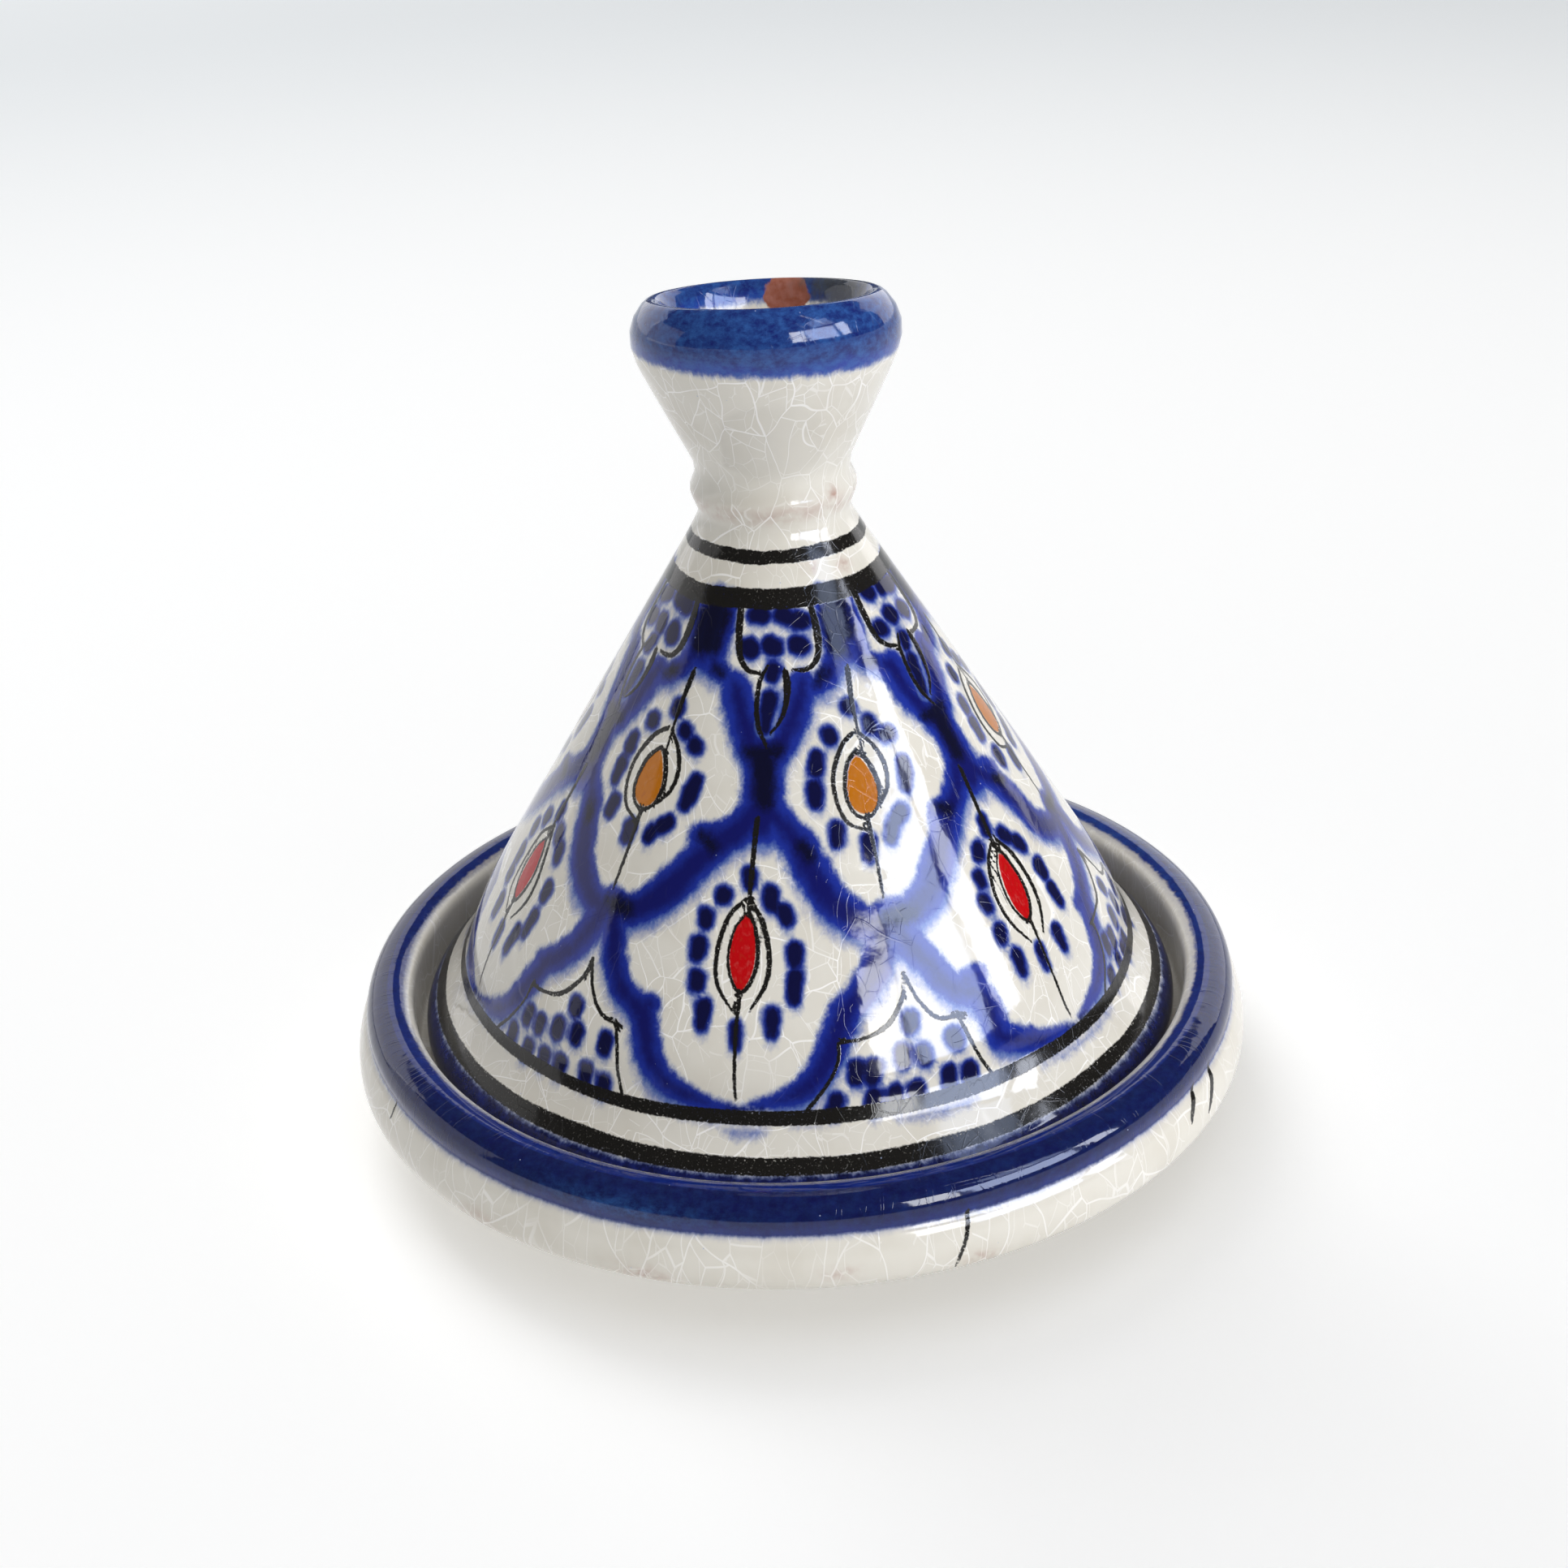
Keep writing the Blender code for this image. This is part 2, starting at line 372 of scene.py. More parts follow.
def tinGlazedEarthenware(name, looks, design):
    # Painted tin glazed earthenware: an opaque milky glass over clay, so the eye gets a sharp wet
    # gloss, soft edged blue that has run in the firing, raised craze lines and a few pinholes.
    material = bpy.data.materials.new(name)
    material.use_nodes = True
    tree = material.node_tree
    tree.nodes.clear()
    add = partial(addNode, tree)
    place = add("TexCoord").outputs["Object"]
    colour = {key: hexColour(value) for key, value in looks.items() if isinstance(value, str)}
    painted = {layer: add("Attribute", attribute_name=layer).outputs["Fac"] for layer in paintLayers}
    soft = {"interpolation_type": "SMOOTHSTEP"}
    tint = {"data_type": "RGBA"}

    # shared unevenness: runs that hang downwards, fine grain, and slow clouds of 7 mm
    hanging = add("Mapping", {"Vector": place, "Scale": (1, 1, 0.42)})
    runs = add("TexNoise", {"Vector": hanging, "Scale": 1000 / 1.1, "Detail": 3, "Roughness": 0.62})
    runny = add("Math", [runs, 0.5], operation="SUBTRACT")
    grain = add("TexNoise", {"Vector": place, "Scale": 1000 / 0.32, "Detail": 2})
    grainy = add("Math", [grain, 0.5], operation="SUBTRACT")
    cloud = add("TexNoise", {"Vector": place, "Scale": 1000 / 7, "Detail": 3})

    # milky glaze, cloudy and thinner in places, blushed by the clay, with rusty iron specks
    thin = add("MapRange", [cloud, 0.42, 0.72, 0.0, 0.55], **soft)
    patches = add("TexNoise", {"Vector": place, "Scale": 1000 / 1.2, "Detail": 3})
    patches = add("MapRange", [patches, 0.34, 0.66, 0.06, 0.42], **soft)
    blush = add("Math", [painted["blush"], patches], operation="MULTIPLY")
    speck = add("TexVoronoi", {"Vector": place, "Scale": 1000 / 5.5})
    speckPick = add("SeparateColor", [speck.outputs["Color"]])
    speckPick = add("MapRange", [speckPick, 0.86, 0.9, 0.0, 0.7])
    speck = add("MapRange", [speck.outputs["Distance"], 0.035, 0.015], **soft)
    speck = add("Math", [speck, speckPick], operation="MULTIPLY")

    # crazing: long lines first, then shorter ones that stop where they meet an older line
    bend = add("TexNoise", {"Vector": place, "Scale": 1000 / 8, "Detail": 1.5})
    bend = add("VectorMath", [bend.outputs["Color"], (0.5, 0.5, 0.5)], operation="SUBTRACT")
    bend = add("VectorMath", [bend, (0.003, 0.003, 0.003), place], operation="MULTIPLY_ADD")
    # past the wrap radius the net is laid round the pot, so it stays upright on an undercut side
    bendSpot = add("SeparateXYZ", [bend])
    bendFlat = add("CombineXYZ", [bendSpot.outputs[0], bendSpot.outputs[1], 0.0])
    reach = add("VectorMath", [bendFlat], operation="LENGTH").outputs["Value"]
    pulled = add("Math", [design["crazeWrap"] * mm, reach], operation="DIVIDE")
    pulled = add("Math", [pulled, 1.0], operation="MINIMUM")
    spread = add("CombineXYZ", [pulled, pulled, design["crazeStretch"]])
    drawn = add("VectorMath", [bend, spread], operation="MULTIPLY").outputs[0]
    craze = 0.0
    for spacing, width, strength in ((1.0, 0.062, 1.0), (0.56, 0.054, 0.85), (0.36, 0.045, 0.5)):
        size = looks["crackleSpacing"] * spacing
        line = add("TexVoronoi", {"Vector": drawn, "Scale": 1000 / size}, feature="DISTANCE_TO_EDGE")
        line = add("MapRange", [line, width / size, 0.4 * width / size, 0.0, strength], **soft)
        if spacing < 1:
            # some cells stay whole
            whole = add("TexVoronoi", {"Vector": drawn, "Scale": 1000 / (size * 1.8)})
            whole = add("SeparateColor", [whole.outputs["Color"]])
            whole = add("MapRange", [whole.outputs[2], 0.30, 0.34])
            line = add("Math", [line, whole], operation="MULTIPLY")
        craze = add("Math", [line, craze], operation="MAXIMUM")
        cell = add("TexVoronoi", {"Vector": drawn, "Scale": 1000 / size})
        drawn = add("VectorMath", [cell.outputs["Color"], (0.09, 0.09, 0.09), drawn],
                    operation="MULTIPLY_ADD")
    where = add("TexNoise", {"Vector": place, "Scale": 1000 / 9, "Detail": 2})
    where = add("MapRange", [where, 0.34, 0.56, 0.5, 1.0], **soft)
    craze = add("Math", [craze, where], operation="MULTIPLY")
    crazeSeen = add("Math", [craze, design["crazeShows"]], operation="MULTIPLY")

    # cobalt, from the outside in: a faint run, a bluer edge, the wash itself, dark where it pooled
    ragged = add("Math", [runny, design["raggedness"]], operation="MULTIPLY")
    ragged = add("Math", [grainy, 0.4 * design["raggedness"], ragged], operation="MULTIPLY_ADD")
    edge = add("Math", [painted["cobaltEdge"], ragged], operation="ADD")
    bleed = add("Math", [ragged, 1.5, painted["bleedEdge"]], operation="MULTIPLY_ADD")
    fringe = design["fringe"]
    faint = add("MapRange", [bleed, fringe * 1.2, -1.1, 0.0, 0.92], **soft)
    rimmed = add("MapRange", [edge, fringe, -0.45, 0.0, 0.85], **soft)
    cloudDepth = add("Math", [cloud, 1.8, -0.8], operation="MULTIPLY_ADD")
    depth = add("Math", [cloudDepth, edge], operation="SUBTRACT")
    deep = add("MapRange", [depth, 0.3, 1.9], **soft)
    wash = add("Mix", {0: deep, 6: colour["cobalt"], 7: colour["cobaltDeep"]}, **tint)
    pool = add("Math", [ragged, 1.2, painted["poolEdge"]], operation="MULTIPLY_ADD")
    pooled = add("MapRange", [pool, 0.9, -0.5, 0.0, 0.92], **soft)
    wash = add("Mix", {0: pooled, 6: wash.outputs[2], 7: colour["cobaltPooled"]}, **tint)
    flat = add("Mapping", {"Vector": place, "Scale": (1, 1, 1.5)})
    mottle = add("TexNoise", {"Vector": flat, "Scale": 1000 / 1.1, "Detail": 5, "Roughness": 0.72})
    mottle = add("MapRange", [mottle, 0.22, 0.85, 0.0, 0.9], **soft)
    mottle = add("Math", [mottle, painted["mottle"]], operation="MULTIPLY")
    wash = add("Mix", {0: mottle, 6: wash.outputs[2], 7: colour["cobaltMottle"]}, **tint)
    covered = add("MapRange", [edge, fringe * 0.45, -fringe * 0.9], **soft)

    # dabs: nearly black where the brush sat, bluer at the edge
    dab = add("Math", [runny, 0.7, painted["dabEdge"]], operation="MULTIPLY_ADD")
    halo = add("MapRange", [dab, 0.45, -0.15, 0.0, 0.8], **soft)
    sat = add("MapRange", [dab, 0.0, -0.6], **soft)
    inkBlue = add("Mix", {0: sat, 6: colour["cobalt"], 7: colour["dab"]}, **tint)
    dabbed = add("MapRange", [dab, 0.22, -0.30], **soft)

    # buds filled with thick enamel, streaky along the brush
    brushed = add("Mapping", {"Vector": place, "Scale": (1, 1, 0.3)})
    streak = add("TexNoise", {"Vector": brushed, "Scale": 1000 / 0.5, "Detail": 3})
    enamel = add("Mix", {0: painted["budRed"], 6: colour["budOrange"], 7: colour["budRed"]}, **tint)
    light = add("MapRange", [streak, 0.50, 0.80, 0.0, 0.05], **soft)
    enamel = add("Mix", {0: light, 6: enamel.outputs[2], 7: colour["milkGlaze"]}, **tint)
    dark = add("MapRange", [streak, 0.45, 0.2, 0.0, 0.3], **soft)
    enamel = add("Mix", {0: dark, 6: enamel.outputs[2], 7: colour["bareClay"]}, **tint)
    budEdge = add("Math", [grainy, 0.25, painted["budEdge"]], operation="MULTIPLY_ADD")
    filled = add("MapRange", [budEdge, 0.12, -0.08], **soft)

    # black line work, dry at the edges; the side keeps thin lines whole between mesh points
    waver = add("Math", [runny, 0.08], operation="MULTIPLY")
    waver = add("Math", [grainy, 0.24, waver], operation="MULTIPLY_ADD")
    across = add("Math", [painted["lineSide"]], operation="ABSOLUTE")
    across = add("Math", [across, painted["lineWidth"]], operation="SUBTRACT")
    across = add("Math", [across, waver], operation="ADD")
    thinLine = add("MapRange", [across, 0.07, -0.07], **soft)
    gate = add("MapRange", [painted["lineEdge"], 0.24, 0.12], **soft)
    thinLine = add("Math", [thinLine, gate], operation="MULTIPLY")
    band = add("Math", [painted["bandEdge"], waver], operation="ADD")
    band = add("MapRange", [band, 0.07, -0.07], **soft)
    inked = add("Math", [thinLine, band], operation="MAXIMUM")
    gaps = add("TexNoise", {"Vector": place, "Scale": 1000 / 0.25, "Detail": 2})
    gaps = add("MapRange", [gaps, 0.60, 0.76], **soft)
    skipping = add("MapRange", [painted["bandEdge"], -0.15, -0.4, 0.5, 0.10], **soft)
    gaps = add("Math", [gaps, skipping], operation="MULTIPLY")
    whole = add("Math", [1.0, gaps], operation="SUBTRACT")
    inked = add("Math", [inked, whole], operation="MULTIPLY")

    # a pale line painted along sharp edges, pinholes, then bare clay where there is none
    paleLine = add("Math", [runny, 0.35, painted["paleEdgeLine"]], operation="MULTIPLY_ADD")
    paleLine = add("MapRange", [paleLine, 0.10, -0.12, 0.0, 0.72], **soft)
    pin = add("TexVoronoi", {"Vector": place, "Scale": 1000 / 1.5})
    pinPick = add("SeparateColor", [pin.outputs["Color"]])
    pinPick = add("MapRange", [pinPick.outputs[1], 0.72, 0.74])
    pinhole = add("MapRange", [pin.outputs["Distance"], 0.065, 0.030], **soft)
    pinhole = add("Math", [pinhole, pinPick], operation="MULTIPLY")
    pinSeen = add("Math", [pinhole, 0.6], operation="MULTIPLY")
    clayEdge = add("Math", [runny, 0.6, painted["clayEdge"]], operation="MULTIPLY_ADD")
    bare = add("MapRange", [clayEdge, 0.10, -0.08], **soft)
    clayGrain = add("TexNoise", {"Vector": place, "Scale": 1000 / 0.9, "Detail": 4})
    clayGrain = add("MapRange", [clayGrain, 0.3, 0.75], **soft)
    clay = add("Mix", {0: clayGrain, 6: colour["bareClay"], 7: colour["rust"]}, **tint)
    smoky = add("Math", [runny, 2.0, painted["smokeEdge"]], operation="MULTIPLY_ADD")
    smoky = add("MapRange", [smoky, 0.8, -0.8, 0.0, 0.85], **soft)

    # what lies over what, from the white glaze up
    body = colour["milkGlaze"]
    for amount, over in (
        (thin, colour["milkGlazeThin"]),
        (blush, colour["rust"]),
        (speck, colour["bareClay"]),
        (crazeSeen, colour["crackle"]),
        (faint, colour["cobaltRun"]),
        (rimmed, colour["cobaltFringe"]),
        (covered, wash.outputs[2]),
        (halo, colour["cobaltFringe"]),
        (dabbed, inkBlue.outputs[2]),
        (filled, enamel.outputs[2]),
        (inked, colour["lineBlack"]),
        (paleLine, colour["milkGlazeThin"]),
        (pinSeen, colour["pinhole"]),
        (bare, clay.outputs[2]),
        (smoky, colour["smoke"]),
    ):
        body = add("Mix", {0: amount, 6: body, 7: over}, **tint).outputs[2]

    # relief in metres: a slow uneven glaze, raised craze lines and line work, sunk pinholes
    lumpy = add("TexNoise", {"Vector": place, "Scale": 1000 / 5.5, "Detail": 2})
    relief = add("Math", [lumpy, 0.055 * mm], operation="MULTIPLY")
    fineLump = add("TexNoise", {"Vector": place, "Scale": 1000 / 1.3, "Detail": 2})
    relief = add("Math", [fineLump, 0.006 * mm, relief], operation="MULTIPLY_ADD")
    combed = add("Mapping", {"Vector": place, "Scale": (1, 1, 0.16)})
    combed = add("TexNoise", {"Vector": combed, "Scale": 1000 / 2.6, "Detail": 2})
    relief = add("Math", [combed, 0.022 * mm, relief], operation="MULTIPLY_ADD")
    relief = add("Math", [craze, 0.006 * mm, relief], operation="MULTIPLY_ADD")
    relief = add("Math", [inked, 0.012 * mm, relief], operation="MULTIPLY_ADD")
    relief = add("Math", [pinhole, -0.02 * mm, relief], operation="MULTIPLY_ADD")
    bump = add("Bump", {"Strength": 1.0, "Distance": 1.0, "Height": relief})

    # wet gloss that is a little softer in places, dull on ink and on bare clay
    breath = add("TexNoise", {"Vector": place, "Scale": 1000 / 4, "Detail": 3})
    gloss = looks["glazeRoughness"]
    rough = add("MapRange", [breath, 0.3, 0.8, gloss * 0.8, gloss * 1.6], **soft)
    rough = add("Math", [inked, 0.05, rough], operation="MULTIPLY_ADD")
    rough = add("Mix", {0: bare, 2: rough, 3: looks["clayRoughness"]})
    shader = add("BsdfPrincipled", {"Base Color": body, "Roughness": rough, "IOR": 1.5, "Normal": bump})
    add("OutputMaterial", [shader])
    return material


lidDesign = {
    # profile as (radius, height, easing) in mm, from the cup's floor over its lip, down the cone, round
    # the flange and up the inside to the top of the cavity
    "corners": [
        (0, 76.2, 0), (5, 76.2, 3), (10.3, 90.8, 2), (10.9, 93.2, 1.2), (12.2, 93.2, 1.6),
        (13.9, 90.86, 1.6), (14, 88, 2.2), (7.95, 75.4, 0.7), (9, 73, 0.8), (7.95, 70.6, 0.8),
        (9.15, 68.2, 3), (36.4, 24.2, 9), (38.3, 18.6, 2.4), (43.5, 12.9, 1.4), (43.5, 9.6, 0.9),
        (38.4, 9.6, 0.8), (31.7, 24.2, 9), (5.63, 66.3, 3), (0, 66.3, 0),
    ],
    "stepsRound": 390,
    "paintedStep": 0.47,     # mm between points where there is painting
    "plainStep": 1.5,
    "wobble": 0.28,
    "fingerRingDepth": 0.05,
    "fingerRingSpacing": 3.2,
    "lipLean": 1.4,          # mm the cup's lip is higher at the front than in the middle
    "lipLeanFrom": 83.0,
    "throwingSeed": 7,
    "crazeStretch": 0.55,    # below 1 the crazing runs longer up and down
    "crazeWrap": 200,        # mm, wider than the lid, so the net is not laid round it
    "crazeShows": 0.9,
    "fringe": 0.55,          # mm of soft edge on the cobalt
    "raggedness": 1.0,
    "repeats": 6,
    "paintingSeed": 31,
    "angleWander": 0.6,      # degrees a repeat may stray
    "heightWander": 0.35,    # mm
    # cobalt lattice of one repeat: (degrees, height mm, half width mm)
    "lattice": [
        [(-18.3, 56.9, 1.1), (-16.8, 56, 1.4), (-14, 54, 1.45), (-10.8, 51.6, 1.35), (-8, 49.5, 1.1)],
        [(6.8, 57, 1.0), (4.2, 55, 1.25), (0.4, 52.8, 1.3), (-3.6, 50.9, 1.3), (-6.5, 49, 1.1)],
        [(-7.2, 51.3, 1.7), (-7, 48.5, 1.75), (-7, 46, 1.9), (-7, 44.6, 1.5)],
        [(-8, 46.3, 1.5), (-13, 44.3, 1.4), (-20, 42.1, 1.5), (-26.7, 39, 1.65), (-31.3, 36.9, 1.6),
         (-36, 35.6, 1.4), (-41, 35.1, 1.3)],
        [(-18.6, 43.6, 0.9), (-21.5, 43.3, 1.1)],
        [(-6, 46.2, 1.5), (-1.4, 44.3, 1.3), (2, 42.5, 1.5), (4.7, 40, 1.6), (8, 37.6, 1.6),
         (13.3, 35.6, 1.5), (19, 35, 1.3)],
        [(1.2, 43.8, 1.0), (3.2, 43.2, 0.9)],
        [(-38.6, 64, 0.95), (-38.6, 61, 0.95), (-38, 58.8, 0.9)],
        [(-33, 64, 1.2), (-33, 61, 1.2), (-33, 58.8, 1.1)],
        [(-26.6, 64, 0.9), (-26.9, 61, 0.9), (-28, 58.8, 0.9)],
        [(-36.5, 59.6, 1.0), (-41, 57.9, 0.95), (-45, 57, 0.95), (-48.6, 56.4, 0.8)],
        [(-29.5, 58.9, 0.9), (-26, 57.9, 0.85), (-22.3, 57.6, 0.6)],
        [(-41.5, 35.4, 1.5), (-43.5, 33.2, 1.4), (-46, 31, 1.3), (-49.2, 29.3, 1.2), (-52, 28, 1.2),
         (-54, 26, 1.3), (-55.7, 24.2, 1.25), (-58, 22.3, 1.1), (-61.5, 20.9, 0.8), (-66, 20.1, 0.3),
         (-69, 19.7, 0)],
        [(-51, 28.6, 0.7), (-53.6, 28.4, 0.8)],
        [(-39.5, 35.4, 1.4), (-38.2, 33.4, 1.3), (-36.2, 31, 1.2), (-33.5, 29.1, 1.1), (-30.4, 28, 1.1),
         (-28, 27.2, 1.2), (-26.9, 25.4, 1.3), (-25.2, 23.4, 1.25), (-22.2, 21.5, 1.05), (-18, 20.4, 0.7),
         (-13.4, 19.8, 0.3), (-10, 19.6, 0)],
        [(-29.6, 28.4, 0.7), (-26.8, 28.3, 0.8)],
        [(-41, 36.2, 1.0), (-38, 35.8, 1.2), (-35.2, 35.9, 0.8)],
    ],
    "latticeGrow": 0.5,
    # where the cobalt lies thick and dark
    "pools": [
        [(-11.5, 51, 0.5), (-7, 50.8, 0.8), (-2.5, 51.1, 0.5)],
        [(-7, 50.2, 1.1), (-6.8, 46.8, 0.8)],
        [(-41.5, 35.9, 0.4), (-38, 35.8, 0.8), (-35.8, 35.8, 0.5)],
        [(-22, 43.4, 0.3), (-19, 42.6, 0.5)],
        [(-37, 62.5, 1.0), (-36.5, 60, 0.9)],
        [(-31, 62.8, 1.3), (-31, 60.2, 1.1)],
        [(-26, 57.9, 0.4), (-23.6, 57.7, 0.3)],
        [(-47.5, 56.6, 0.3), (-45.4, 57, 0.5)],
        [(2.4, 42.8, 0.4), (4, 41.8, 0.5)],
        [(-11.5, 19.3, 0.2), (-6, 19.3, 0.2)],
    ],
    # faint blue that slipped onto the white band
    "smears": [
        [(-12.5, 17.8, 0.3), (-9.4, 17.6, 0.75), (-6, 17.8, 0.4)],
        [(-2.5, 18.1, 0.2), (2, 18.1, 0.2)],
        [(14, 17.9, 0.3), (20, 17.6, 0.6), (27, 17.9, 0.3)],
        [(40, 18, 0.4), (50, 17.8, 0.5), (60, 18, 0.4)],
        [(150, 17.9, 0.3), (163, 17.9, 0.4)],
        [(-110, 18, 0.3), (-96, 17.8, 0.4)],
    ],
    "dabGrow": 0.40,
    # dark dabs: paths with a half width, the brush set down and lifted
    "dabs": [
        [(-46.5, 52.5, 0.65), (-46.2, 52.1, 0.7)], [(-38, 54.2, 0.65), (-38, 53.8, 0.7)],
        [(-33.2, 52.5, 0.6), (-32.6, 52.2, 0.65)], [(-29, 51.2, 0.65), (-28, 51, 0.7)],
        [(-25.9, 48.2, 0.6), (-27, 47, 0.72), (-28.1, 45.8, 0.5)],
        [(-31.6, 44, 0.65), (-33.3, 43.5, 0.7)], [(-35.2, 43.0, 0.6), (-36.2, 42.2, 0.5)],
        [(-42, 42.7, 0.75), (-42.2, 41.6, 0.55)], [(-49.8, 44.3, 0.65), (-50.2, 43.2, 0.6)],
        [(-52.6, 47.6, 0.65), (-52.8, 46.2, 0.55)], [(-51.7, 50.2, 0.6), (-52, 49.2, 0.65)],
        [(-15, 38.7, 0.75), (-15.2, 38.4, 0.7)], [(-18.2, 36.7, 0.7), (-18.4, 35.9, 0.65)],
        [(-19.3, 34.2, 0.75), (-19.3, 33.3, 0.65)], [(-18.8, 31.3, 0.75), (-18.8, 30.7, 0.65)],
        [(-16.8, 28.8, 0.75), (-17, 27.2, 0.5)], [(-5.1, 38.9, 0.7), (-4.9, 38, 0.65)],
        [(-2.4, 37.3, 0.7), (-1.9, 36.5, 0.6)], [(-0.4, 33.9, 0.75), (-0.5, 33, 0.6)],
        [(-0.8, 31.5, 0.7), (-1.2, 29.6, 0.5)], [(-4.8, 28.3, 0.72), (-5.1, 26.6, 0.45)],
        [(-9.6, 40.6, 0.6), (-9.8, 39.6, 0.5)], [(-11, 27.3, 0.55), (-11, 25.6, 0.35)],
        [(-11.8, 63.1, 0.75), (-8.5, 63.1, 0.75)], [(0.5, 63.1, 0.75), (3.5, 62.8, 0.75)],
        [(7.5, 62.6, 0.85), (9.8, 62.5, 0.85)], [(-14.2, 60.3, 0.85), (-12.6, 60.1, 0.85)],
        [(-4.6, 60.4, 0.85), (-3, 60.2, 0.85)], [(6.6, 60.3, 0.85), (8.4, 60.2, 0.8)],
        [(-3.4, 58.3, 0.7), (-4.4, 57.6, 0.6)], [(-5.2, 55.8, 0.75), (-6, 54.2, 0.55), (-6.6, 53, 0.35)],
        [(-41.5, 26.3, 0.75), (-41.5, 25.7, 0.7)],
        [(-52, 23.2, 0.72), (-52.1, 22.3, 0.66)], [(-48.6, 23.1, 0.72), (-48.7, 22.3, 0.66)],
        [(-44.1, 23.7, 0.76), (-44.2, 22.8, 0.7)], [(-40, 23.9, 0.74), (-40.1, 23.1, 0.68)],
        [(-34, 24, 0.76), (-34.1, 23.2, 0.7)],
        [(-55, 20.5, 0.7), (-55.3, 19.7, 0.7)], [(-50, 20.1, 0.7), (-50.2, 19.2, 0.7)],
        [(-45.8, 20.2, 0.76), (-46, 19.4, 0.72)], [(-42.3, 20.2, 0.74), (-42.4, 19.4, 0.72)],
        [(-36.8, 20.5, 0.78), (-36.9, 19.6, 0.72)], [(-33, 20.1, 0.74), (-33, 19.3, 0.7)],
    ],
    "lines": [
        [(-19.2, 64, 0.38), (-18.9, 61.6, 0.38), (-17.4, 59.6, 0.34), (-14, 58.3, 0.26),
         (-9.6, 57.9, 0.18)],
        [(15.2, 64, 0.30), (16, 61.6, 0.42), (15, 59.5, 0.36), (12, 58.4, 0.28), (8, 58, 0.26),
         (4.6, 58.1, 0.16)],
        [(-6, 58.5, 0.16), (-8.6, 57.2, 0.24), (-9.5, 55.2, 0.26), (-8.6, 53.2, 0.24), (-6.1, 51.6, 0.18)],
        [(1, 58, 0.32), (1.4, 56.6, 0.38), (0, 54.7, 0.26), (-2.5, 53.4, 0.20), (-4.8, 52.7, 0.12)],
        [(-35.4, 57.5, 0.30), (-37, 54.8, 0.26), (-37.6, 52.4, 0.16), (-37.7, 50.2, 0.12)],
        [(-40.2, 44.6, 0.26), (-40.7, 41.5, 0.20), (-41.1, 38.6, 0.18), (-41.4, 37.1, 0.10)],
        [(-39.6, 52, 0.24), (-43.6, 51.1, 0.26), (-47.2, 49.1, 0.25), (-48.1, 46.8, 0.22),
         (-46, 44.5, 0.2), (-41.3, 43.4, 0.16)],
        [(-37.2, 51.8, 0.2), (-34, 50.7, 0.22), (-32.1, 48.9, 0.26), (-32.9, 46.9, 0.22),
         (-36.6, 45.3, 0.16)],
        [(-40, 50.3, 0.22), (-43.5, 49, 0.25), (-45, 46.9, 0.22), (-43.7, 45.2, 0.2), (-40.4, 44.5, 0.2),
         (-37, 45.3, 0.2), (-35.6, 47.2, 0.28), (-37.2, 49.4, 0.28), (-39.4, 50.2, 0.2)],
        [(-8.3, 45.2, 0.30), (-8.9, 42.6, 0.27), (-9.4, 39.6, 0.25), (-9.6, 37, 0.2)],
        [(-10.6, 30.3, 0.24), (-11, 26.6, 0.17), (-11, 22.6, 0.18), (-10.7, 20.4, 0.12)],
        [(-10.2, 38.4, 0.18), (-13.4, 37, 0.25), (-15.4, 34.2, 0.24), (-15, 31.2, 0.2), (-12, 28.8, 0.13)],
        [(-9, 38.1, 0.2), (-6.5, 36.2, 0.28), (-5.3, 33.4, 0.28), (-6, 31, 0.25), (-8.7, 28.7, 0.13)],
        [(-9.8, 37.3, 0.14), (-12.2, 35.9, 0.12), (-13.3, 33.7, 0.15), (-12.7, 31.7, 0.16),
         (-10.7, 30.3, 0.2), (-8.5, 31.5, 0.22), (-7.5, 33.6, 0.22), (-8.2, 36, 0.2), (-9.5, 37.2, 0.2)],
        [(-41, 30.4, 0.26), (-41.9, 28.7, 0.24), (-45.5, 26.5, 0.26), (-49.5, 25.8, 0.18),
         (-53.4, 25.7, 0.2)],
        [(-53.3, 26, 0.14), (-54.2, 23.8, 0.16), (-56.4, 21.6, 0.18), (-59.6, 19.4, 0.2)],
        [(-40.9, 30.2, 0.22), (-39.3, 28.1, 0.2), (-36.2, 26.2, 0.22), (-32.2, 25.7, 0.2),
         (-31.4, 25.5, 0.1)],
        [(-32.8, 26.1, 0.14), (-31.7, 23.8, 0.22), (-30.7, 21.4, 0.18), (-29.3, 19.2, 0.2)],
    ],
    "orangeBud": [(-40.1, 49.9, 0.2), (-40.4, 48.8, 0.95), (-40.5, 47.4, 1.6), (-40.4, 46.3, 1.62),
                  (-40.4, 45.6, 1.0)],
    "redBud": [(-9.8, 37, 0.2), (-10.1, 35.7, 0.95), (-10.4, 34, 1.32), (-10.5, 32.5, 1.22),
               (-10.6, 31.2, 0.7), (-10.6, 30.5, 0.25)],
    "redBelow": 41,          # mm, the height that parts red buds from orange ones
    # bands round the lid: (height, half width)
    "blackBands": [(68.15, 0.62), (64.4, 0.9), (18.85, 0.58), (15.2, 0.66)],
    "flangeRadius": 43.5,
    "flangeBlueBelow": 14.6,
    "cupBlueAbove": 88.2,
    "cupBlueInside": 90.7,
    "ringFlushAt": 72.4,     # where the throwing ring breaks through the glaze
    # rust blushes: (degrees, height, half width)
    "blushes": [(20, 66.9, 0.7), (42, 66.3, 0.9), (45, 73.6, 0.8), (-130, 66.5, 0.8), (170, 73, 0.9)],
    "chip": (166.5, 90.2, 1.75),
    "smoke": (130, 91.4, 1.7),
}


